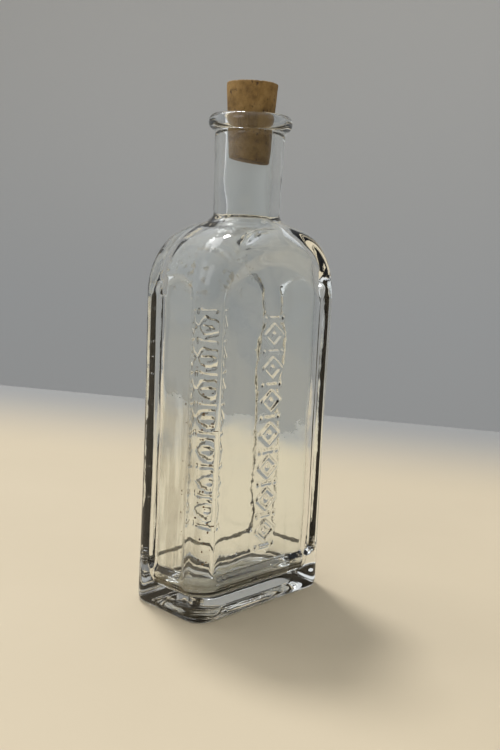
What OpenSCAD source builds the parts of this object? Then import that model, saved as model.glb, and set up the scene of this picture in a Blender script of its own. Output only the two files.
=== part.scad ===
// Flat panelled bitters bottle with a tapered cork.
// Origin at the centre of the base, +Z up, broad panels facing -Y and +Y, narrow panels facing -X and +X.

/* [Body] */
// Width of the body, across the narrow sides
body_w = 67; // [62:1:74]
// Depth of the body, front to back
body_d = 36.4; // [35:0.2:42]
// Height at which the shoulders start to turn in
shoulder_z = 113; // [90:1:140]
// Radius of each shoulder in front view
shoulder_r = 27; // [25:0.5:29]
// Radius of the upright corners, which runs on over the shoulders
corner_r = 7; // [6:0.5:8]
// Radius of the dome that rounds the shoulders towards the neck
dome_r = 45.5; // [44:0.5:60]
// Radius of the heel, where the sides meet the base
heel_r = 1.5; // [1:0.5:3]

/* [Panels] */
// Depth that each panel is sunk into its side
panel_sink = 1.8; // [1:0.1:2]
// Width of the sloping border beside and below a panel
border_w = 2; // [1.5:0.1:3]
// Width of the sloping crescent under the crown of a panel
crescent_w = 5.3; // [4:0.1:6]
// Height of the lower edge of every panel
panel_z = 14; // [12:1:20]
// Width of the arched front and back panels
broad_w = 54.6; // [48:0.2:55]
// Height of the crown of a broad panel above the foot of the shoulders
broad_crown = 17; // [15:0.5:18]
// Width of the narrow side panels
narrow_w = 18.6; // [16:0.2:19]
// Height of the crown of a narrow panel above the foot of the shoulders
narrow_crown = 11; // [9:0.5:12]

/* [Glass] */
// Thickness of the glass behind a panel
wall = 2.6; // [2:0.1:3]
// Thickness of the glass at the top of the shoulders
shoulder_wall = 3.4; // [3:0.2:5]
// Radius of the upright corners inside
inner_corner_r = 7; // [6:0.5:8]
// Height of the floor inside
floor_z = 7; // [5:0.5:9]
// Radius round the floor inside
floor_r = 5; // [4:0.5:6]
// Height that the middle of the base is pushed up
push_up = 2; // [1:0.25:2.5]
// Width of the foot that the bottle stands on
foot_w = 6; // [4:0.5:8]

/* [Neck] */
// Outer radius of the neck where it leaves the shoulders
neck_root_r = 12; // [11.6:0.1:12.2]
// Outer radius of the neck under the lip
neck_top_r = 12.7; // [12.2:0.1:13.2]
// Height of the neck, from the shoulders to the underside of the lip
neck_h = 31.4; // [24:0.2:40]
// Radius of the hollow curve at the root of the neck
root_cove_r = 3; // [2:0.5:4]
// Radius of the bore below the seat of the cork
bore_r = 8.35; // [7.5:0.05:8.4]

/* [Lip] */
// Outer radius of the lip
lip_r = 15; // [14.5:0.5:17]
// Height of the lip
lip_h = 5.7; // [5.4:0.1:8]
// Radius of the outer edges of the lip
lip_edge_r = 2.5; // [1.5:0.1:2.6]
// Radius of the rounded edge of the mouth
mouth_edge_r = 0.9; // [0.5:0.1:1]

/* [Cork] */
// Length of the cork
cork_h = 28; // [26:1:34]
// Length of cork that sits inside the neck
cork_in = 17; // [14:0.5:20]
// Radius of the wide end of the cork
cork_top_r = 9.3; // [9.1:0.05:9.4]
// Radius of the narrow end of the cork
cork_tip_r = 7.3; // [6.8:0.1:7.3]
// Gap all round between the cork and its seat
seat_gap = 0.05; // [0.02:0.01:0.1]

/* [Hidden] */
$fn = 96;

// Outer shape
body_top_z = shoulder_z + shoulder_r;
shoulder_x = body_w / 2 - shoulder_r;
lip_z = body_top_z + neck_h;
rim_z = lip_z + lip_h;
dome_z = body_top_z - sqrt(dome_r * dome_r - neck_root_r * neck_root_r);

// Hollow: the glass is thinnest behind the panels and thickest at the corners
inner_w = body_w - 2 * (panel_sink + wall);
inner_d = body_d - 2 * (panel_sink + wall);
inner_shoulder_r = inner_w / 2 - shoulder_x;
inner_top_z = body_top_z - shoulder_wall;
inner_shoulder_z = inner_top_z - inner_shoulder_r;

// Panels: radius at the springing of each arch, and how much flatter the crescent is than the arch
broad_spring_r = 10;
narrow_spring_r = 6;
crescent_spread = 1.5;

// Cork: its radius at the rim gives the mouth
cork_bottom_z = rim_z - cork_in;
cork_taper = (cork_top_r - cork_tip_r) / cork_h;
cork_rim_r = cork_tip_r + cork_taper * cork_in;
mouth_r = cork_rim_r + seat_gap;
seat_h = 8;
cork_edge = 0.5;

// Cuts reach this far past the surface that they open
past = 1;
// Depth that the curve at the root of the neck is sunk into the shoulders
cove_sink = 0.2;

// Radius of an arc with half chord a and rise h
function arc_radius(a, h) = (a * a + h * h) / (2 * h);

// Drop from the springing of a three-centred arch to the centre of its middle arc:
// a is the half span, h the rise and q the radius at the springings
function centre_drop(a, h, q) = (pow(a - q, 2) - pow(h - q, 2)) / (2 * (h - q));

// Rectangle standing on the X axis, w wide and h high, with its lower corners rounded
module heel_section(w, h, r) {
    translate([-w / 2, r]) square([w, h - r]);
    translate([r - w / 2, 0]) square([w - 2 * r, 2 * r]);
    for (side = [-1, 1]) translate([side * (w / 2 - r), r]) circle(r);
}

// Half of that section, on the positive side
module half_heel_section(w, h, r) {
    intersection() {
        heel_section(w, h, r);
        square([w, h]);
    }
}

// Upright block with round corners and a rounded lower edge that runs round them
module heeled_block(w, d, h, r, heel) {
    rotate([90, 0, 0]) linear_extrude(d - 2 * r, center = true) heel_section(w, h, heel);
    rotate([90, 0, 90]) linear_extrude(w - 2 * r, center = true) heel_section(d, h, heel);
    for (x = [-1, 1], y = [-1, 1])
        translate([x * (w / 2 - r), y * (d / 2 - r), 0])
            rotate_extrude() half_heel_section(2 * r, h, heel);
}

// Top of the body, before the dome trims it: a round edged disc for each shoulder and a bar between them
module shoulders(z, sr, d, r) {
    for (side = [-1, 1])
        translate([side * shoulder_x, 0, z])
            rotate([90, 0, 0]) rotate_extrude() disc_section(sr, d, r);
    translate([0, 0, z])
        rotate([90, 0, 90]) linear_extrude(2 * shoulder_x, center = true)
            mirror([0, 1]) translate([0, -sr]) heel_section(d, 2 * sr, r);
}

// Half section of a disc of radius sr and thickness d with rounded rims
module disc_section(sr, d, r) {
    translate([0, -d / 2]) square([sr - r, d]);
    translate([0, r - d / 2]) square([sr, d - 2 * r]);
    for (side = [-1, 1]) translate([sr - r, side * (d / 2 - r)]) circle(r);
}

// Cutter for a sunk panel of width w whose sides spring at shoulder_z and whose crown is h above it.
// The face of the bottle is y = 0 and the floor of the panel y = panel_sink.
module panel_cutter(w, h, spring_r) {
    half = w / 2;
    drop = centre_drop(half, h, spring_r);
    middle_r = h + drop;
    flat_r = middle_r + crescent_spread;
    intersection() {
        union() {
            sloped_legs(w);
            for (side = [-1, 1])
                translate([side * (half - spring_r), 0, shoulder_z])
                    sloped_round(spring_r, border_w);
            middle_arc(half - spring_r, drop, middle_r);
        }
        union() {
            translate([0, 0, shoulder_z + h - flat_r]) sloped_round(flat_r, crescent_w);
            translate([-w, -past, 0]) cube([2 * w, panel_sink + past, shoulder_z + h - flat_r]);
        }
    }
}

// Round cutter of radius r at the face, with a border of the given width that slopes down to the floor
module sloped_round(r, border) {
    translate([0, panel_sink, 0]) rotate([90, 0, 0])
        cylinder(
            h = panel_sink + past,
            r1 = r - border,
            r2 = r + border * past / panel_sink
        );
}

// Straight part of a panel, with sloping borders beside and below it
module sloped_legs(w) {
    run = border_w * past / panel_sink;
    intersection() {
        translate([0, 0, panel_z - past]) linear_extrude(shoulder_z - panel_z + past)
            polygon([
                [-w / 2 - run, -past], [-w / 2 + border_w, panel_sink],
                [w / 2 - border_w, panel_sink], [w / 2 + run, -past]
            ]);
        rotate([0, 90, 0]) linear_extrude(2 * w, center = true)
            polygon([
                [run - panel_z, -past], [-panel_z - border_w, panel_sink],
                [-shoulder_z, panel_sink], [-shoulder_z, -past]
            ]);
    }
}

// Middle arc of a panel, between the two lines from its centre through the centres of the springings
module middle_arc(x, drop, r) {
    reach = 2 * r / norm([x, drop]);
    intersection() {
        translate([0, panel_sink, shoulder_z - drop]) rotate([90, 0, 0])
            cylinder(h = panel_sink + past, r = r);
        translate([0, panel_sink, shoulder_z - drop]) rotate([90, 0, 0])
            linear_extrude(panel_sink + past)
                polygon([[0, 0], [x * reach, drop * reach], [-x * reach, drop * reach]]);
    }
}

// The four cutters, set on their faces
module panel_cutters() {
    for (turn = [0, 180])
        rotate(turn) translate([0, -body_d / 2, 0])
            panel_cutter(broad_w, broad_crown, broad_spring_r);
    for (turn = [90, -90])
        rotate(turn) translate([0, -body_w / 2, 0])
            panel_cutter(narrow_w, narrow_crown, narrow_spring_r);
}

// Outside of neck and lip. The hollow curve at the root of the neck runs smoothly into the
// rounded edge of the shoulders at the front and back, and is sunk a little below it.
module neck_outside() {
    edge_x = body_d / 2 - corner_r;
    edge_z = body_top_z - corner_r;
    cove_x = neck_root_r + root_cove_r;
    reach = corner_r + root_cove_r;
    cove_z = edge_z + sqrt(reach * reach - pow(cove_x - edge_x, 2)) - cove_sink;
    meet_x = edge_x + (cove_x - edge_x) * corner_r / reach;
    rotate_extrude() {
        polygon([
            [0, edge_z], [meet_x, edge_z], [neck_root_r, body_top_z],
            [neck_top_r, lip_z + past], [0, lip_z + past]
        ]);
        difference() {
            translate([0, edge_z]) square([meet_x, cove_z - edge_z]);
            translate([cove_x, cove_z]) circle(root_cove_r);
        }
        translate([0, lip_z]) square([lip_r - lip_edge_r, lip_h]);
        translate([0, lip_z + lip_edge_r]) square([lip_r, lip_h - 2 * lip_edge_r]);
        for (z = [lip_z + lip_edge_r, rim_z - lip_edge_r])
            translate([lip_r - lip_edge_r, z]) circle(lip_edge_r);
    }
}

// Bore of the neck: a tapered seat for the cork above a plain bore, with a rounded mouth
module bore_cutter() {
    rotate_extrude() {
        polygon([
            [0, inner_top_z - 2], [bore_r + 2, inner_top_z - 2], [bore_r, inner_top_z + 1],
            [bore_r, rim_z - seat_h], [mouth_r, rim_z], [mouth_r, rim_z + past], [0, rim_z + past]
        ]);
        difference() {
            translate([mouth_r - past, rim_z - mouth_edge_r]) square(mouth_edge_r + past);
            translate([mouth_r + mouth_edge_r, rim_z - mouth_edge_r]) circle(mouth_edge_r);
        }
    }
}

// Shallow pan pushed up into the base, which leaves a flat foot round it
module push_up_cutter() {
    w = body_w - 2 * foot_w;
    d = body_d - 2 * foot_w;
    slope = 3 * push_up;
    intersection() {
        rotate([90, 0, 0]) linear_extrude(d, center = true) pan_section(w, slope);
        rotate([90, 0, 90]) linear_extrude(w, center = true) pan_section(d, slope);
    }
}

// Section of the pan, w wide at the foot
module pan_section(w, slope) {
    polygon([
        [-w / 2 - past, -past * push_up / slope - past], [-w / 2, 0], [-w / 2 + slope, push_up],
        [w / 2 - slope, push_up], [w / 2, 0], [w / 2 + past, -past * push_up / slope - past]
    ]);
}

// Hollow of the body, with a low bump in its floor over the push-up
module hollow() {
    bump_half = inner_d / 2 - floor_r;
    bump_r = arc_radius(bump_half, push_up);
    difference() {
        translate([0, 0, floor_z])
            heeled_block(inner_w, inner_d, inner_shoulder_z - floor_z, inner_corner_r, floor_r);
        translate([0, 0, floor_z + push_up - bump_r]) sphere(bump_r);
    }
    shoulders(inner_shoulder_z, inner_shoulder_r, inner_d, inner_corner_r);
}

// The bottle: one piece of clear moulded glass
module bottle() {
    color([0.80, 0.86, 0.84, 0.5]) difference() {
        union() {
            heeled_block(body_w, body_d, shoulder_z, corner_r, heel_r);
            intersection() {
                shoulders(shoulder_z, shoulder_r, body_d, corner_r);
                translate([0, 0, dome_z]) sphere(dome_r);
            }
            neck_outside();
        }
        panel_cutters();
        push_up_cutter();
        hollow();
        bore_cutter();
    }
}

// The cork: a tapered stopper with its sharp edges broken
module cork() {
    color([0.62, 0.45, 0.24]) translate([0, 0, cork_bottom_z]) rotate_extrude() polygon([
        [0, 0], [cork_tip_r - cork_edge, 0], [cork_tip_r + cork_taper * cork_edge, cork_edge],
        [cork_top_r - cork_taper * cork_edge, cork_h - cork_edge], [cork_top_r - cork_edge, cork_h],
        [0, cork_h]
    ]);
}

bottle();
cork();
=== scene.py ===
import math

import bpy
import numpy as np
from mathutils import Matrix, Vector, noise


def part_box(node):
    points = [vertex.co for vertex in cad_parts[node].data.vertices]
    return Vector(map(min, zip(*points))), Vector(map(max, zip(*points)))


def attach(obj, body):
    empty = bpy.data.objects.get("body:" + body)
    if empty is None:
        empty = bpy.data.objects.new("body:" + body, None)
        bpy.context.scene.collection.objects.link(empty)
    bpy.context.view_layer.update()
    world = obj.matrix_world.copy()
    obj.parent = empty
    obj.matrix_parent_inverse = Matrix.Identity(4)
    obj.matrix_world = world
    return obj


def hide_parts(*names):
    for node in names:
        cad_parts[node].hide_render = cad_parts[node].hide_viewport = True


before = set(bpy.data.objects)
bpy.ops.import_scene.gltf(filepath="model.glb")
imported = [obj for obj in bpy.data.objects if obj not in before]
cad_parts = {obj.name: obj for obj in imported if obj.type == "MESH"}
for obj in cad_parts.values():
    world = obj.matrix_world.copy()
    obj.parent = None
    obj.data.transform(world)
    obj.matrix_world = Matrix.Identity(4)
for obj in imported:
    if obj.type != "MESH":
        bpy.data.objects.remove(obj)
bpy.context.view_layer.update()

# Lengths are in millimetres, and MM turns them into metres. The stage, the lamps and the materials
# are in metres.
MM = 0.001
QUARTER = math.pi / 2
bottle_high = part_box("bottle")[1]
cork_low, cork_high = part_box("cork")

# Body
HALF_W = bottle_high.x / MM
HALF_D = bottle_high.y / MM
RIM_Z = bottle_high.z / MM
SHOULDER_Z, SHOULDER_R = 113.0, 27.0
SHOULDER_X = HALF_W - SHOULDER_R
SHOULDER_EDGE_R = 8.0
CORNER_R, HEEL_R = 7.0, 1.5
BODY_CORNER_R = CORNER_R - 0.5
WAIST = 0.5

# Base: a flat foot around a pan that is pushed up
FOOT_W, PUSH_UP = 6.0, 2.0
PAN_SLOPE_W = 3 * PUSH_UP
PAN_CORNER_R, PAN_SLOPE_CORNER_R = 4.0, 5.0

# Panels: half width, rise of the crown above the springing, and radius at the springing
BROAD_HALF, BROAD_CROWN, BROAD_SPRING_R = 27.3, 17.0, 10.0
NARROW_HALF, NARROW_CROWN, NARROW_SPRING_R = 9.3, 11.0, 6.0
PANEL_Z, PANEL_CORNER_R = 14.0, 3.0
SINK, BORDER = 1.8, 2.0
CRESCENT, CRESCENT_SPREAD = 5.3, 1.5
NO_PANEL = -9.0

# Inside
WALL, SHOULDER_WALL = 2.6, 3.4
INNER_HALF_W = HALF_W - SINK - WALL
INNER_HALF_D = HALF_D - SINK - WALL
INNER_TOP_Z = SHOULDER_Z + SHOULDER_R - SHOULDER_WALL
INNER_SHOULDER_R = INNER_HALF_W - SHOULDER_X
INNER_SHOULDER_Z = INNER_TOP_Z - INNER_SHOULDER_R
FLOOR_Z, FLOOR_R = 7.0, 5.0

# Neck, lip and mouth
NECK_Z = SHOULDER_Z + SHOULDER_R
NECK_ROOT_R, NECK_TOP_R = 12.0, 12.7
LIP_R, LIP_H, LIP_EDGE_R = 15.0, 5.7, 2.5
LIP_Z = RIM_Z - LIP_H
BORE_R, MOUTH_R, MOUTH_EDGE_R, SEAT_H = 8.35, 8.564, 0.9, 8.0

# A curve joins the shoulders to the neck between these heights, outside and inside
SHOULDER_END_Z, NECK_START_Z = NECK_Z - 1.4, NECK_Z + 2.2
INNER_SHOULDER_END_Z, INNER_NECK_START_Z = INNER_TOP_Z - 1.6, INNER_TOP_Z + 3

# Raised ornament in the middle of the broad panels: lines and dots are given by half their width
ORNAMENT_HALF_W, ORNAMENT_H = 5.6, 0.7
ORNAMENT_LOW, ORNAMENT_HIGH = 22.0, 106.0
ORNAMENT_UNITS = 7
LOZENGE_INSET, LOZENGE_GAP, LOZENGE_LINE = 0.8, 2.2, 0.5
BAR_REACH, BAR_END, BAR_LINE = 3.0, 0.6, 0.45
BOSS_R, DOT_R, DOT_X = 1.1, 0.6, 4.6
RIDGE_SLOPE, ORNAMENT_MARGIN = 0.7, 1

# Unevenness of the glass: depth, wavelength and seed
OUTSIDE_UNEVEN = (0.16, 34, 3)
BORE_UNEVEN = (0.34, 10, 4)
INSIDE_UNEVEN = (0.5, 26, 8)

# Rows of the skin in the bore, of which the first ones stay even as a seat for the cork
BORE_ROWS, SEAT_ROWS = 12, 5

# Cork, worn by pits, fine grain, shallow flats and chips along its upper edge
CORK_TAPER, CORK_COLUMNS, CORK_MIDDLE_R = 2.0, 150, 0.8
PIT_GRAIN, PIT_START, PIT_DEPTH = np.array([0.9, 0.9, 0.45]), 0.12, 0.30
FINE_GRAIN, FINE_DEPTH = np.array([2.6, 2.6, 1.9]), 0.07
FLATS, FLAT_DEPTH = 7, 0.10
CHIP_GRAIN, CHIP_LAYER, CHIP_REACH, CHIP_DEPTH = 2.2, 7.7, 2.2, 0.55
TIP_REACH, TIP_SLOPE_H = 3, 0.8
TOP_FINE_DEPTH, TOP_PIT_DEPTH = 0.12, 0.08
# Its broken edges, measured inwards and along its length, and how far its skin lies under the solid's
TIP_EDGE_R, TIP_EDGE_H = 0.4, 0.3
TOP_EDGE_R, TOP_EDGE_H = 0.45, 0.5
TOP_TURN_R, TOP_TURN_H = 0.15, 0.2
SIDE_UNDER, TOP_UNDER = 0.02, 0.05

# Specks: how many on a square metre, their radius before scaling, and how they are scaled
SPECK_DENSITY, SPECK_R, SPECK_SEED = 130000.0, 0.24, 5
SPECK_SMALLEST, SPECK_LARGEST = (0.25, 0.25, 0.15), (1.3, 2.0, 0.4)

# Camera: where it stands, how it is turned in degrees, and its picture in pixels
CAMERA_REACH, CAMERA_H = 350.7, 136.1
CAMERA_ROUND, CAMERA_PAN, CAMERA_DOWN, CAMERA_ROLL = -45.77, -0.66, 8.5, 2.73
FOCAL_PX, IMAGE_W, IMAGE_H = 957.0, 500, 750
CLIP_NEAR, CLIP_FAR = 10, 20000
# The back edge of the floor crosses the sides of the picture this far from its top
FLOOR_EDGE_LEFT_Y, FLOOR_EDGE_RIGHT_Y = 385, 432

# Floor and backdrop, in metres
STAGE_HALF_W, FLOOR_NEAR, FLOOR_FADE = 6.0, 2.5, 0.2
BACKDROP_GAP, BACKDROP_LOW, BACKDROP_HIGH = 0.9, -1.2, 1.1

# Lamps and sky, in metres and degrees. The soft lamps are turned to the lit point. The sky goes from
# dim to bright between two distances along the direction of its bright side.
LIT_POINT = Vector((0, 0, 0.08))
SUN_FROM, SUN_POWER, SUN_ANGLE = Vector((0.16, 0.5, 1.1)), 1.9, 11
SKY_COLOUR, SKY_BRIGHT_SIDE = (0.80, 0.82, 0.84, 1), (-0.1, 0.75, 0.65)
SKY_DIM, SKY_BRIGHT = 0.16, 0.95
SKY_DIM_AT, SKY_BRIGHT_AT = -0.6, 0.8

# Glass and colours
GLASS_IOR = 1.5
GLASS_TINT = (0.965, 0.985, 0.975, 1)
DARK_CORK, CORK_PORE = (0.12, 0.066, 0.022, 1), (0.055, 0.025, 0.012, 1)
FLOOR_TAN, FLOOR_LIGHT_TAN = (0.52, 0.435, 0.30, 1), (0.57, 0.48, 0.34, 1)
# Painted shade: the floor darkens to this grey at its back edge, so that it looks as dim as the backdrop
FAR_FLOOR_PAINTED_SHADE = (0.27, 0.27, 0.265, 1)
BACKDROP_GREY, BACKDROP_LIGHT_GREY = (0.70, 0.70, 0.685, 1), (0.76, 0.76, 0.75, 1)


def smooth(t):
    """0 to 1 with soft ends."""
    t = np.clip(t, 0, 1)
    return t * t * (3 - 2 * t)


def slope_step(t):
    """0 to 1 along a straight slope with rounded ends."""
    return 0.6 * np.clip(t, 0, 1) + 0.4 * smooth(t)


def waves(points, length, seed):
    """Slow unevenness from -1 to 1 with about the given wavelength."""
    rng = np.random.default_rng(seed)
    total = np.zeros(len(points))
    count = 5
    for _ in range(count):
        direction = rng.normal(size=3)
        direction *= 2 * math.pi / length / np.linalg.norm(direction)
        total += np.sin(points @ direction * rng.uniform(0.6, 1.5) + rng.uniform(0, 6.3))
    return total / count


def section(angles, a, b, r):
    """Points where rays at these angles meet a rounded rectangle with half sides a and b."""
    c, s = np.cos(angles), np.sin(angles)
    least = 1e-9
    ac, as_ = np.maximum(abs(c), least), np.maximum(abs(s), least)
    along = (a - r) * ac + (b - r) * as_
    corner = along + np.sqrt(np.maximum(r * r - (a - r) ** 2 - (b - r) ** 2 + along**2, 0))
    reach = np.where(a / ac * as_ <= b - r, a / ac, np.where(b / as_ * ac <= a - r, b / as_, corner))
    return np.stack([reach * c, reach * s], 1)


def column_angles():
    """Angles of the columns of the skin, closer together at panel borders and over the ornament."""
    flat_w, flat_d = HALF_W - CORNER_R, HALF_D - CORNER_R
    broad_border, narrow_border, ornament_edge = 23.5, 6.8, ORNAMENT_HALF_W + 1
    y = np.concatenate([
        np.linspace(0, narrow_border, num=5, endpoint=False),
        np.linspace(narrow_border, flat_d, num=9, endpoint=False),
    ])
    turn = np.linspace(0, QUARTER, num=9, endpoint=False)
    x = np.concatenate([
        np.linspace(flat_w, broad_border, num=8, endpoint=False),
        np.linspace(broad_border, ornament_edge, num=20, endpoint=False),
        np.linspace(ornament_edge, 0, num=18, endpoint=False),
    ])
    quarter = np.concatenate([
        np.arctan2(y, HALF_W),
        np.arctan2(flat_d + CORNER_R * np.sin(turn), flat_w + CORNER_R * np.cos(turn)),
        np.arctan2(HALF_D, x),
    ])
    half = np.concatenate([quarter, [QUARTER], math.pi - quarter[:0:-1]])
    return np.concatenate([half, half + math.pi])


ANGLES = column_angles()


def ring(z, a, b, r):
    """One row of the skin: a rounded rectangle at height z."""
    return np.column_stack([section(ANGLES, a, b, r), np.full(len(ANGLES), z)])


def round_ring(z, r):
    """One round row of the skin."""
    return ring(z, r, r, r)


def round_arc(middle_z, middle_r, radius, start, end, count):
    """Round rows along an arc, from one turn to another."""
    return [
        round_ring(middle_z + radius * math.sin(turn), middle_r + radius * math.cos(turn))
        for turn in np.linspace(start, end, count)
    ]


def shoulder_rows(turns, foot_z, radius, half_w, half_d, corner):
    """Rows of the shoulders: the sides follow an arc and the corners grow rounder towards the neck."""
    rows = []
    for turn in turns:
        z = foot_z + radius * math.sin(turn)
        up = (z - foot_z) / radius
        over = max(z - (foot_z + radius - SHOULDER_EDGE_R), 0)
        a = half_w - radius + radius * math.sqrt(max(1 - up * up, 0))
        b = half_d - SHOULDER_EDGE_R + math.sqrt(max(SHOULDER_EDGE_R**2 - over * over, 0))
        rows.append(ring(z, a, b, min(corner + (NECK_ROOT_R - corner) * up**4, a, b)))
    return rows


def bridge(below, start, end, above, count):
    """Rows of a smooth curve from row start to row end, leaving and arriving as the next rows do."""
    reach = np.linalg.norm(end - start, axis=1, keepdims=True)
    leave = start - below
    leave = leave / np.linalg.norm(leave, axis=1, keepdims=True) * reach
    arrive = above - end
    arrive = arrive / np.linalg.norm(arrive, axis=1, keepdims=True) * reach
    return [
        (2 * t**3 - 3 * t**2 + 1) * start + (t**3 - 2 * t**2 + t) * leave
        + (3 * t**2 - 2 * t**3) * end + (t**3 - t**2) * arrive
        for t in np.linspace(0, 1, count + 2)[1:-1]
    ]


def arch_drop(half, crown, spring_r):
    """How far below the springing the long arc of a three-centred arch has its centre."""
    return ((half - spring_r) ** 2 - (crown - spring_r) ** 2) / (2 * (crown - spring_r))


def arch_inside(x, z, half, crown, spring_r):
    """Distance inside the outline of a panel, whose top is a three-centred arch."""
    x, up = abs(x), z - SHOULDER_Z
    drop = arch_drop(half, crown, spring_r)
    middle = crown + drop - np.hypot(x, up + drop)
    spring = spring_r - np.hypot(np.maximum(x - half + spring_r, 0), up)
    in_middle = x * drop < (half - spring_r) * (up + drop)
    side = np.where(up <= 0, half - x, np.where(in_middle, middle, spring))
    foot = z - PANEL_Z
    r = PANEL_CORNER_R
    corner = r - np.hypot(np.maximum(r - side, 0), np.maximum(r - foot, 0))
    return np.where((side < r) & (foot < r), corner, np.minimum(side, foot))


def panel_depth(x, z, half, crown, spring_r):
    """Depth of a sunk panel: short slopes at its sides and foot and a wide crescent under its crown."""
    inside = arch_inside(x, z, half, crown, spring_r)
    flat_r = crown + arch_drop(half, crown, spring_r) + CRESCENT_SPREAD
    up = z - SHOULDER_Z - crown + flat_r
    crescent = np.where(up > 0, flat_r - np.hypot(x, up), CRESCENT)
    depth = SINK * np.minimum(slope_step(inside / BORDER), slope_step(crescent / CRESCENT))
    return np.where(inside > 0, depth, NO_PANEL)


def ridge(distance, half):
    """Height of a raised line, from 0 to 1, by the distance from its middle."""
    return smooth((half + RIDGE_SLOPE / 2 - abs(distance)) / RIDGE_SLOPE)


def ornament(x, z):
    """Height of the raised ornament: a column of lozenges with a boss in each and a bar between them."""
    pitch = (ORNAMENT_HIGH - ORNAMENT_LOW) / ORNAMENT_UNITS
    place = (z - ORNAMENT_LOW) / pitch
    near = (place - np.floor(place) - 0.5) * pitch
    half_w, half_h = ORNAMENT_HALF_W - LOZENGE_INSET, pitch / 2 - LOZENGE_GAP
    slope = math.hypot(1 / half_w, 1 / half_h)
    lozenge = ridge((abs(x) / half_w + abs(near) / half_h - 1) / slope, LOZENGE_LINE)
    boss = ridge(np.hypot(x, near), BOSS_R)
    to_bar = pitch / 2 - abs(near)
    bar = ridge(to_bar, BAR_LINE) * smooth((BAR_REACH - abs(x)) / BAR_END)
    dots = ridge(np.hypot(abs(x) - DOT_X, to_bar), DOT_R)
    height = np.maximum.reduce([lozenge, boss, bar, dots])
    low, high = ORNAMENT_LOW - ORNAMENT_MARGIN, ORNAMENT_HIGH + ORNAMENT_MARGIN
    return ORNAMENT_H * height * ((z > low) & (z < high))


def sink_panels(points, half_w):
    """Presses the four panels into a row of the outer skin."""
    x, y, z = points[:, 0].copy(), points[:, 1].copy(), points[:, 2]
    depth = panel_depth(x, z, BROAD_HALF, BROAD_CROWN, BROAD_SPRING_R)
    face = HALF_D - np.where(depth > 0, depth - ornament(x, z), depth)
    points[:, 1] = np.where(depth > NO_PANEL, np.sign(y) * np.minimum(abs(y), face), y)
    depth = panel_depth(y, z, NARROW_HALF, NARROW_CROWN, NARROW_SPRING_R)
    face = half_w - depth
    on_side = (depth > NO_PANEL) & (abs(x) > HALF_W / 2)
    points[:, 0] = np.where(on_side, np.sign(x) * np.minimum(abs(x), face), points[:, 0])
    return points


def waisted(z):
    """Half width of the body, which draws in a little at half its height."""
    return HALF_W - WAIST * math.sin(math.pi * min(z / SHOULDER_Z, 1)) ** 2


def base_rows():
    """Rows of the pan, the flat foot and the rounded heel, from the middle of the base outwards."""
    foot_w, foot_d = HALF_W - HEEL_R, HALF_D - HEEL_R
    pan_w, pan_d = HALF_W - FOOT_W, HALF_D - FOOT_W
    rows = [ring(PUSH_UP, pan_w * k, pan_d * k, PAN_CORNER_R * k) for k in (0.15, 0.3, 0.45, 0.6)]
    for t in np.linspace(0, 1, num=5):
        z, inset = PUSH_UP * (1 - smooth(t)), PAN_SLOPE_W * (1 - t)
        rows.append(ring(z, pan_w - inset, pan_d - inset, PAN_SLOPE_CORNER_R + t))
    rows.append(ring(0, (pan_w + foot_w) / 2, (pan_d + foot_d) / 2, CORNER_R - HEEL_R))
    for turn in np.linspace(0, QUARTER, num=6):
        z, grow = HEEL_R * (1 - math.cos(turn)), HEEL_R * math.sin(turn)
        rows.append(ring(z, foot_w + grow, foot_d + grow, CORNER_R - HEEL_R + grow))
    return rows


def body_rows():
    """Rows of the upright sides, closest together over the foot of the panels."""
    slope_end, slope_row_h, body_row_h = PANEL_Z + 4, 0.5, 0.6
    heights = np.concatenate([
        np.linspace(HEEL_R, PANEL_Z - 1, num=8)[1:],
        np.arange(PANEL_Z - slope_row_h, slope_end, slope_row_h),
        np.arange(slope_end, SHOULDER_Z, body_row_h),
    ])
    rows = []
    for z in heights:
        half_w = waisted(z)
        rows.append(sink_panels(ring(z, half_w, HALF_D, BODY_CORNER_R), half_w))
    return rows


def neck_rows():
    """Rows of the neck, which widens a little upwards."""
    rows = []
    for z in np.linspace(NECK_START_Z, LIP_Z, num=14):
        rise = (z - NECK_Z) / (LIP_Z - NECK_Z)
        rows.append(round_ring(z, NECK_ROOT_R + (NECK_TOP_R - NECK_ROOT_R) * rise))
    return rows


def lip_rows():
    """Rows of the crease under the lip, the rolled lip and the rounded mouth."""
    crease_h, crease_w = 0.15, 0.1
    lip_middle_r, mouth_middle_r = LIP_R - LIP_EDGE_R, MOUTH_R + MOUTH_EDGE_R
    return [
        round_ring(LIP_Z + crease_h, NECK_TOP_R + crease_w),
        *round_arc(LIP_Z + LIP_EDGE_R, lip_middle_r, LIP_EDGE_R, -QUARTER, 0, count=7),
        *round_arc(RIM_Z - LIP_EDGE_R, lip_middle_r, LIP_EDGE_R, 0, QUARTER, count=7),
        *round_arc(RIM_Z - MOUTH_EDGE_R, mouth_middle_r, MOUTH_EDGE_R, QUARTER, math.pi, count=6),
    ]


def outer_rows():
    """Rows from the middle of the base over the outside to the mouth."""
    rows = base_rows() + body_rows()
    last_turn = math.asin((SHOULDER_END_Z - SHOULDER_Z) / SHOULDER_R)
    rows += [sink_panels(row, HALF_W) for row in shoulder_rows(
        np.linspace(0, last_turn, num=46), SHOULDER_Z, SHOULDER_R, HALF_W, HALF_D, BODY_CORNER_R
    )]
    neck = neck_rows()
    return rows + bridge(rows[-2], rows[-1], neck[0], neck[1], count=7) + neck + lip_rows()


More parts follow.
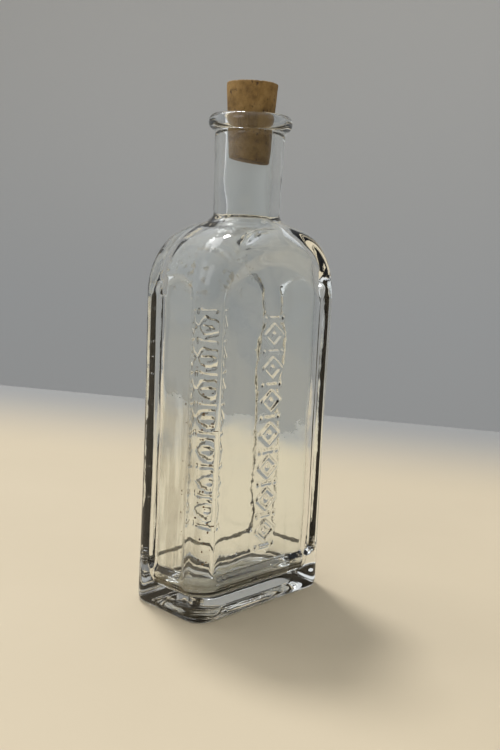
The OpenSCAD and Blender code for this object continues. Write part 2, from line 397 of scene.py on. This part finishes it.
def inner_rows():
    """Rows from the seat of the cork down the inside to the middle of the floor."""
    rows = [
        round_ring(z, BORE_R) for z in np.linspace(RIM_Z - SEAT_H, INNER_NECK_START_Z, BORE_ROWS)
    ]
    first_turn = math.asin((INNER_SHOULDER_END_Z - INNER_SHOULDER_Z) / INNER_SHOULDER_R)
    shoulders = shoulder_rows(
        np.linspace(first_turn, 0, num=16), INNER_SHOULDER_Z, INNER_SHOULDER_R,
        INNER_HALF_W, INNER_HALF_D, CORNER_R,
    )
    rows += bridge(rows[-2], rows[-1], shoulders[0], shoulders[1], count=5) + shoulders
    for z in np.linspace(INNER_SHOULDER_Z, FLOOR_Z + FLOOR_R, num=26)[1:]:
        rows.append(ring(z, INNER_HALF_W, INNER_HALF_D, CORNER_R))
    for turn in np.linspace(0, QUARTER, num=7)[1:]:
        z, draw = FLOOR_Z + FLOOR_R * (1 - math.sin(turn)), FLOOR_R * (1 - math.cos(turn))
        rows.append(ring(z, INNER_HALF_W - draw, INNER_HALF_D - draw, CORNER_R - draw))
    flat_w, flat_d = INNER_HALF_W - FLOOR_R, INNER_HALF_D - FLOOR_R
    flat_corner = CORNER_R - FLOOR_R
    for k in (0.8, 0.6, 0.4, 0.2):
        rows.append(ring(FLOOR_Z + PUSH_UP * smooth(1 - k), flat_w * k, flat_d * k, flat_corner * k))
    return rows


def place_object(name, data):
    """A new object in the scene."""
    made = bpy.data.objects.new(name, data)
    bpy.context.scene.collection.objects.link(made)
    return made


def skin(name, rows, first_pole, last_pole):
    """Closed mesh through rows of points, with a pole before the first and after the last."""
    count, size = len(rows), len(rows[0])
    points = np.vstack([*rows, [first_pole], [last_pole]]) * MM
    neighbours = list(enumerate(np.roll(np.arange(size), -1).tolist()))
    faces = []
    for row in range(count - 1):
        a, b = row * size, (row + 1) * size
        faces += [(a + j, a + k, b + k, b + j) for j, k in neighbours]
    last, pole = (count - 1) * size, count * size
    faces += [(pole, k, j) for j, k in neighbours]
    faces += [(pole + 1, last + j, last + k) for j, k in neighbours]
    mesh = bpy.data.meshes.new(name)
    mesh.from_pydata(points.tolist(), [], faces)
    mesh.update()
    mesh.polygons.foreach_set("use_smooth", [True] * len(mesh.polygons))
    return place_object(name, mesh)


def uneven(rows, depth, length, seed, inward_only=False):
    """Makes rows of glass slightly uneven, towards and away from the axis."""
    changed = []
    for row in rows:
        swing = waves(row, length, seed)
        move = -depth * (0.5 + 0.5 * swing) if inward_only else depth * swing
        reach = np.maximum(np.hypot(row[:, 0], row[:, 1]), 1)
        row = row.copy()
        row[:, :2] *= (1 + move / reach)[:, None]
        changed.append(row)
    return changed


def glass_bottle():
    """The whole bottle as one closed skin. The wall below the bore takes the second material."""
    outside = uneven(outer_rows(), *OUTSIDE_UNEVEN, inward_only=True)
    inside = inner_rows()
    inside[SEAT_ROWS:BORE_ROWS] = uneven(inside[SEAT_ROWS:BORE_ROWS], *BORE_UNEVEN)
    inside[BORE_ROWS:] = uneven(inside[BORE_ROWS:], *INSIDE_UNEVEN)
    piece = skin("glass_bottle", outside + inside, (0, 0, PUSH_UP), (0, 0, FLOOR_Z + PUSH_UP))
    wall_start = (len(outside) + BORE_ROWS) * len(ANGLES)
    for face in piece.data.polygons:
        face.material_index = int(min(face.vertices) >= wall_start)
    return piece


def cork_piece():
    """Tapered cork: rough, pitted, chipped at its upper edge, with a sloping lower end."""
    low_z, high_z = cork_low.z / MM, cork_high.z / MM
    top_r, length = cork_high.x / MM, high_z - low_z
    tip_r = top_r - CORK_TAPER
    columns = np.linspace(0, 2 * math.pi, CORK_COLUMNS, endpoint=False)
    facing = math.radians(CAMERA_ROUND)
    rows = []

    def row(z, r):
        """Adds a row at height z, with its wear cut into it."""
        points = np.column_stack([r * np.cos(columns), r * np.sin(columns), np.full(CORK_COLUMNS, z)])
        by_top = max(1 - (high_z - z) / CHIP_REACH, 0) ** 2
        by_tip = max(1 - (z - low_z) / TIP_REACH, 0)
        share = min(r / tip_r, 1)
        for angle, p in zip(columns, points):
            pit = noise.noise(Vector(p * PIT_GRAIN))
            fine = noise.noise(Vector(p * FINE_GRAIN))
            chip = noise.noise(Vector((
                math.cos(angle) * CHIP_GRAIN, math.sin(angle) * CHIP_GRAIN, CHIP_LAYER
            )))
            cut = PIT_DEPTH * max(pit - PIT_START, 0) + FINE_DEPTH * abs(fine)
            cut += FLAT_DEPTH * math.sin(FLATS / 2 * angle) ** 2
            cut += CHIP_DEPTH * max(chip, 0) * by_top
            p[:2] *= max(1 - cut / max(r, 1), 0)
            p[2] += TIP_SLOPE_H * by_tip * (1 - share * math.cos(angle - facing))
            if z == high_z:
                p[2] -= TOP_FINE_DEPTH * abs(fine) + TOP_PIT_DEPTH * max(pit, 0)
        rows.append(points)

    for r in np.linspace(CORK_MIDDLE_R, tip_r - TIP_EDGE_R, num=8):
        row(low_z, r)
    for z in np.linspace(low_z + TIP_EDGE_H, high_z - TOP_EDGE_H, num=84):
        row(z, tip_r + (top_r - tip_r) * (z - low_z) / length - SIDE_UNDER)
    row(high_z - TOP_TURN_H, top_r - TOP_TURN_R)
    for r in np.linspace(top_r - TOP_EDGE_R, CORK_MIDDLE_R, num=10):
        row(high_z, r)
    return skin("cork_stopper", rows, (0, 0, low_z + TIP_SLOPE_H), (0, 0, high_z - TOP_UNDER))


class Value:
    """A socket of a node tree that can be used in sums."""

    def __init__(self, nodes, socket):
        self.nodes = nodes
        self.socket = socket

    def output(self, name):
        """Another output of the same node."""
        return Value(self.nodes, self.socket.node.outputs[name])

    def math(self, operation, first, second):
        """Adds a Math node on two values or numbers."""
        return self.nodes.node("ShaderNodeMath", {"operation": operation}, {0: first, 1: second})

    def __add__(self, other):
        return self.math("ADD", self, other)

    __radd__ = __add__

    def __sub__(self, other):
        return self.math("SUBTRACT", self, other)

    def __rsub__(self, other):
        return self.math("SUBTRACT", other, self)

    def __mul__(self, other):
        return self.math("MULTIPLY", self, other)

    __rmul__ = __mul__


class Nodes:
    """A node tree under construction."""

    def __init__(self, tree):
        self.tree = tree
        tree.nodes.clear()

    def node(self, kind, settings=None, inputs=None, output=0):
        """Adds a node: its settings first, then the values or links of its sockets."""
        node = self.tree.nodes.new(kind)
        for key, value in (settings or {}).items():
            if key == "stops":
                ramp = node.color_ramp.elements
                while len(ramp) < len(value):
                    ramp.new(0.5)
                for stop, (place, colour) in zip(ramp, value):
                    stop.position = place
                    stop.color = (*colour, 1)
            else:
                setattr(node, key, value)
        for key, value in (inputs or {}).items():
            if isinstance(value, Value):
                self.tree.links.new(value.socket, node.inputs[key])
            else:
                node.inputs[key].default_value = value
        return Value(self, node.outputs[output]) if node.outputs else None

    def band(self, value, low, high, start=0.0, end=1.0):
        """Start below low, end above high, with a soft change between."""
        return self.node("ShaderNodeMapRange", {"interpolation_type": "SMOOTHSTEP"}, {
            "Value": value, "From Min": low, "From Max": high, "To Min": start, "To Max": end,
        })

    def along(self, place, direction):
        """How far a place or a direction reaches along another direction."""
        return self.node(
            "ShaderNodeVectorMath", {"operation": "DOT_PRODUCT"}, {0: place, 1: direction}, "Value"
        )


class Finish(Nodes):
    """A material under construction."""

    def __init__(self, name):
        self.material = bpy.data.materials.new(name)
        self.material.use_nodes = True
        super().__init__(self.material.node_tree)

    def place(self):
        """Object coordinates, in metres."""
        return self.node("ShaderNodeTexCoord", output="Object")

    def axis(self, name):
        """One object coordinate."""
        return self.node("ShaderNodeSeparateXYZ", None, {0: self.place()}, name)

    def stretched(self, x, y, z):
        """Object coordinates, scaled along each axis."""
        return self.node("ShaderNodeMapping", None, {"Vector": self.place(), "Scale": (x, y, z)})

    def grain(self, scale, detail=3.0, roughness=0.55, place=None):
        """Fractal noise from 0 to 1."""
        return self.node("ShaderNodeTexNoise", None, {
            "Vector": place or self.place(), "Scale": scale, "Detail": detail, "Roughness": roughness,
        }, "Fac")

    def colours(self, value, *stops):
        """Colour ramp."""
        return self.node("ShaderNodeValToRGB", {"stops": stops}, {0: value}, "Color")

    def mix(self, factor, first, second):
        """Mix of two colours."""
        inputs = {0: factor, 6: first, 7: second}
        return self.node("ShaderNodeMix", {"data_type": "RGBA"}, inputs, 2)

    def bump(self, height, strength, distance):
        """Normal that follows a height, whose full swing is distance."""
        inputs = {"Height": height, "Strength": strength, "Distance": distance}
        return self.node("ShaderNodeBump", None, inputs)

    def surface(self, **inputs):
        """Principled shader."""
        named = {key.replace("_", " "): value for key, value in inputs.items()}
        return self.node("ShaderNodeBsdfPrincipled", None, named)

    def done(self, shader):
        """The finished material."""
        self.node("ShaderNodeOutputMaterial", None, {"Surface": shader})
        return self.material


def outer_glass():
    """Clear old glass: smooth, with slow ripples and faint rubbed patches."""
    f = Finish("clear_glass")
    rubbed = f.band(f.grain(55), 0.62, 0.78) * f.grain(900)
    ripples = f.grain(70, detail=1.0) + f.grain(260, detail=2.0) * 0.12
    return f.done(f.surface(
        Base_Color=GLASS_TINT, Transmission_Weight=1.0, IOR=GLASS_IOR,
        Roughness=rubbed * 0.09 + 0.004, Normal=f.bump(ripples, 0.25, 0.001),
    ))


def inner_glass():
    """Inside of the glass, with a thin dried film: runs, a pool, one corner and spots on a shoulder."""
    f = Finish("inner_glass")
    height = f.axis("Z")
    streaks = f.grain(1.0, detail=4.0, roughness=0.6, place=f.stretched(170, 170, 14))
    runs = f.band(streaks, 0.60, 0.74)
    low = f.band(height, 0.105, 0.03)
    pool = f.band(height, 0.018, 0.009) * f.band(f.grain(120), 0.42, 0.6)
    trickles = f.grain(1.0, detail=3.0, roughness=0.6, place=f.stretched(260, 260, 30))
    corner = f.band(f.axis("X"), -0.0262, -0.0284) * f.band(height, 0.088, 0.07)
    corner = corner * f.band(trickles, 0.36, 0.6)
    haunch = f.band(height, 0.113, 0.117) * f.band(height, 0.132, 0.125)
    haunch = haunch * f.band(f.axis("X"), -0.006, -0.014)
    spots = haunch * f.band(f.grain(330, detail=2.0), 0.56, 0.68)
    film = runs * (low * 0.16 + 0.05) + pool * 0.16 + corner * 0.34 + spots * 0.4
    tan = f.colours(
        f.grain(300), (0.3, (0.34, 0.22, 0.08)), (0.55, (0.52, 0.41, 0.2)), (0.8, (0.62, 0.56, 0.36))
    )
    ripples = f.grain(60, detail=1.0) + f.grain(240, detail=2.0) * 0.15
    normal = f.bump(ripples, 0.3, 0.0012)
    glass = f.surface(
        Base_Color=GLASS_TINT, Transmission_Weight=1.0, IOR=GLASS_IOR,
        Roughness=runs * 0.06 + 0.004, Normal=normal,
    )
    dried = f.surface(Base_Color=tan, Roughness=0.7, Normal=normal)
    return f.done(f.node("ShaderNodeMixShader", None, {0: film, 1: glass, 2: dried}))


def cork_finish():
    """Old cork: mottled brown with dark patches and dark pores."""
    f = Finish("natural_cork")
    mottle = f.grain(190, detail=5.0, roughness=0.65)
    colour = f.colours(
        mottle, (0.3, (0.11, 0.058, 0.017)), (0.48, (0.25, 0.15, 0.047)),
        (0.62, (0.33, 0.205, 0.072)), (0.8, (0.41, 0.28, 0.11)),
    )
    holes = f.grain(1.0, detail=2.0, roughness=0.5, place=f.stretched(900, 900, 420))
    pores = f.band(holes, 0.62, 0.7)
    dark = f.band(f.grain(75), 0.55, 0.75)
    colour = f.mix(dark * 0.45, colour, DARK_CORK)
    colour = f.mix(pores * 0.85, colour, CORK_PORE)
    height = f.grain(420, detail=4.0) - pores * 0.8
    return f.done(f.surface(
        Base_Color=colour, Roughness=f.grain(300) * 0.2 + 0.72, Normal=f.bump(height, 0.6, 0.0006)
    ))


def speck_finish():
    """Rust brown specks of dried residue."""
    f = Finish("dried_residue")
    colour = f.colours(f.grain(500), (0.35, (0.05, 0.025, 0.012)), (0.65, (0.3, 0.15, 0.045)))
    return f.done(f.surface(Base_Color=colour, Roughness=f.grain(900) * 0.3 + 0.5))


def floor_finish(edge, away):
    """Pale warm floor with painted shade: it darkens to grey towards its back edge, to meet the dimmer
    backdrop.
    """
    f = Finish("pale_floor")
    colour = f.mix(f.grain(9, detail=4.0), FLOOR_TAN, FLOOR_LIGHT_TAN)
    beyond = f.along(f.place(), away) - edge.dot(away)
    # Painted shade: a darker grey over the last stretch before the back edge
    colour = f.mix(f.band(beyond, -FLOOR_FADE, 0.0), colour, FAR_FLOOR_PAINTED_SHADE)
    return f.done(f.surface(Base_Color=colour, Roughness=0.65))


def backdrop_finish():
    """Pale grey backdrop."""
    f = Finish("pale_backdrop")
    colour = f.mix(f.grain(1.5, detail=1.0), BACKDROP_GREY, BACKDROP_LIGHT_GREY)
    return f.done(f.surface(Base_Color=colour, Roughness=0.9))


def speck_tree(material):
    """Geometry Nodes: scatters small lumps over a surface."""
    tree = bpy.data.node_groups.new("specks", "GeometryNodeTree")
    for name, kind in (("Geometry", "NodeSocketGeometry"), ("Density", "NodeSocketFloat"),
                       ("Radius", "NodeSocketFloat"), ("Seed", "NodeSocketInt")):
        tree.interface.new_socket(name, in_out="INPUT", socket_type=kind)
    tree.interface.new_socket("Geometry", in_out="OUTPUT", socket_type="NodeSocketGeometry")
    g = Nodes(tree)
    ground = g.node("NodeGroupInput", output="Geometry")
    scatter = g.node("GeometryNodeDistributePointsOnFaces", None, {
        "Mesh": ground, "Density": ground.output("Density"), "Seed": ground.output("Seed"),
    }, "Points")
    lump = g.node("GeometryNodeMeshIcoSphere", None, {
        "Radius": ground.output("Radius"), "Subdivisions": 2,
    }, "Mesh")
    size = g.node("FunctionNodeRandomValue", {"data_type": "FLOAT_VECTOR"}, {
        "Min": SPECK_SMALLEST, "Max": SPECK_LARGEST, "Seed": ground.output("Seed"),
    }, "Value")
    lumps = g.node("GeometryNodeInstanceOnPoints", None, {
        "Points": scatter, "Instance": lump, "Rotation": scatter.output("Rotation"), "Scale": size,
    }, "Instances")
    real = g.node("GeometryNodeRealizeInstances", None, {0: lumps})
    dressed = g.node("GeometryNodeSetMaterial", None, {"Geometry": real, "Material": material})
    g.node("NodeGroupOutput", None, {0: dressed})
    return tree


def speck_ground(bottle):
    """Patches of the inner wall where residue dried, copied from the bottle as a helper mesh."""
    side, front, back = -INNER_HALF_W, -INNER_HALF_D, INNER_HALF_D
    patches = [
        # Narrow side
        ((side - 1, -6.5, 22), (side + 1, -3.5, 78)),
        # Upright corner between that side and the front
        ((side - 1, front - 1, 16), (side + 4, front + 3, 80)),
        # Back
        ((-8, back - 1.5, 30), (3, back + 1, 90)),
        # Floor
        ((-22, -6, FLOOR_Z - 1), (22, -3, FLOOR_Z + 2.5)),
    ]
    places, faces = {}, []
    for face in bottle.data.polygons:
        middle = face.center / MM
        held = any(
            all(start <= at <= end for start, at, end in zip(low, middle, high))
            for low, high in patches
        )
        if face.material_index == 1 and held:
            faces.append([places.setdefault(v, len(places)) for v in face.vertices])
    mesh = bpy.data.meshes.new("speck_ground")
    mesh.from_pydata([bottle.data.vertices[v].co for v in places], [], faces)
    return mesh


def dried_specks(bottle, material):
    """Specks of residue stuck to the inside, made a plain mesh."""
    helper = place_object("speck_helper", speck_ground(bottle))
    modifier = helper.modifiers.new("specks", "NODES")
    tree = speck_tree(material)
    modifier.node_group = tree
    wanted = {"Density": SPECK_DENSITY, "Radius": SPECK_R * MM, "Seed": SPECK_SEED}
    for item in tree.interface.items_tree:
        if item.item_type == "SOCKET" and item.in_out == "INPUT" and item.name in wanted:
            modifier[item.identifier] = wanted[item.name]
    bpy.context.view_layer.update()
    graph = bpy.context.evaluated_depsgraph_get()
    mesh = bpy.data.meshes.new_from_object(helper.evaluated_get(graph))
    bpy.data.objects.remove(helper)
    mesh.name = "dried_specks"
    return place_object("dried_specks", mesh)


def camera_axes():
    """Right, up and forward of the camera, and its place, in metres."""
    around, down = math.radians(CAMERA_ROUND), math.radians(CAMERA_DOWN)
    turn, roll = math.radians(CAMERA_ROUND + CAMERA_PAN), math.radians(CAMERA_ROLL)
    forward = Vector((
        -math.sin(turn) * math.cos(down), math.cos(turn) * math.cos(down), -math.sin(down)
    ))
    level = Vector((math.cos(turn), math.sin(turn), 0))
    rise = level.cross(forward)
    right = level * math.cos(roll) + rise * math.sin(roll)
    up = rise * math.cos(roll) - level * math.sin(roll)
    place = Vector((
        CAMERA_REACH * math.sin(around), -CAMERA_REACH * math.cos(around), CAMERA_H
    )) * MM
    return right, up, forward, place


def make_camera():
    """Camera of the picture, with its focal length in pixels of the long side."""
    right, up, forward, place = camera_axes()
    data = bpy.data.cameras.new("camera")
    data.lens = data.sensor_width * FOCAL_PX / IMAGE_H
    data.clip_start, data.clip_end = CLIP_NEAR * MM, CLIP_FAR * MM
    camera = place_object("camera", data)
    turned = Matrix((right, up, -forward)).transposed().to_4x4()
    camera.matrix_world = Matrix.Translation(place) @ turned
    bpy.context.scene.camera = camera


def on_floor(x, y):
    """Where the ray through a picture point meets the floor."""
    right, up, forward, place = camera_axes()
    ray = forward * FOCAL_PX + right * (x - IMAGE_W / 2) - up * (y - IMAGE_H / 2)
    return place - ray * (place.z / ray.z)


def flat_sheet(name, middle, along, start, end, material):
    """Wide sheet of the stage, from one offset from its middle line to another."""
    left, right = middle - along * STAGE_HALF_W, middle + along * STAGE_HALF_W
    corners = [left + start, right + start, right + end, left + end]
    mesh = bpy.data.meshes.new(name)
    mesh.from_pydata([tuple(c) for c in corners], [], [(0, 1, 2, 3)])
    mesh.materials.append(material)
    place_object(name, mesh)


def make_stage():
    """Floor that ends behind the bottle, and a backdrop beyond and below its edge."""
    left, right = on_floor(0, FLOOR_EDGE_LEFT_Y), on_floor(IMAGE_W, FLOOR_EDGE_RIGHT_Y)
    along = (right - left).normalized()
    away = Vector((-along.y, along.x, 0))
    edge = (left + right) / 2
    flat_sheet("floor", edge, along, away * -FLOOR_NEAR, Vector(), floor_finish(edge, away))
    low, high = Vector((0, 0, BACKDROP_LOW)), Vector((0, 0, BACKDROP_HIGH))
    flat_sheet("backdrop", edge + away * BACKDROP_GAP, along, low, high, backdrop_finish())


def lamp(name, kind, aim, **settings):
    """A lamp that shines along aim."""
    data = bpy.data.lights.new(name, kind)
    for key, value in settings.items():
        setattr(data, key, value)
    made = place_object(name, data)
    made.rotation_euler = aim.to_track_quat("-Z", "Y").to_euler()
    return made


def soft_light(name, place, power, size):
    """A square lamp that is turned towards the bottle."""
    lamp(name, "AREA", LIT_POINT - Vector(place), energy=power, size=size).location = place


def make_light():
    """Sun from behind, three soft lamps, and a world that is brighter behind the bottle."""
    lamp("sun", "SUN", -SUN_FROM, energy=SUN_POWER, angle=math.radians(SUN_ANGLE))
    soft_light("high_light", (-0.12, 0.55, 0.95), power=1.8, size=0.4)
    soft_light("side_light", (-0.9, -0.1, 0.6), power=1.3, size=0.5)
    soft_light("front_light", (0.3, -1.0, 0.7), power=0.5, size=0.5)
    world = bpy.data.worlds.new("studio")
    world.use_nodes = True
    sky = Nodes(world.node_tree)
    toward = sky.along(sky.node("ShaderNodeTexCoord", output="Generated"), SKY_BRIGHT_SIDE)
    strength = sky.band(toward, SKY_DIM_AT, SKY_BRIGHT_AT, SKY_DIM, SKY_BRIGHT)
    glow = sky.node("ShaderNodeBackground", None, {"Color": SKY_COLOUR, "Strength": strength})
    sky.node("ShaderNodeOutputWorld", None, {"Surface": glow})
    bpy.context.scene.world = world


bpy.context.scene.view_settings.view_transform = "Standard"
make_camera()
make_stage()
make_light()

bottle = glass_bottle()
bottle.data.materials.append(outer_glass())
bottle.data.materials.append(inner_glass())
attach(bottle, "bottle")
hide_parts("bottle")

stopper = cork_piece()
stopper.data.materials.append(cork_finish())
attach(stopper, "stopper")
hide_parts("cork")

specks = dried_specks(bottle, speck_finish())
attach(specks, "bottle")
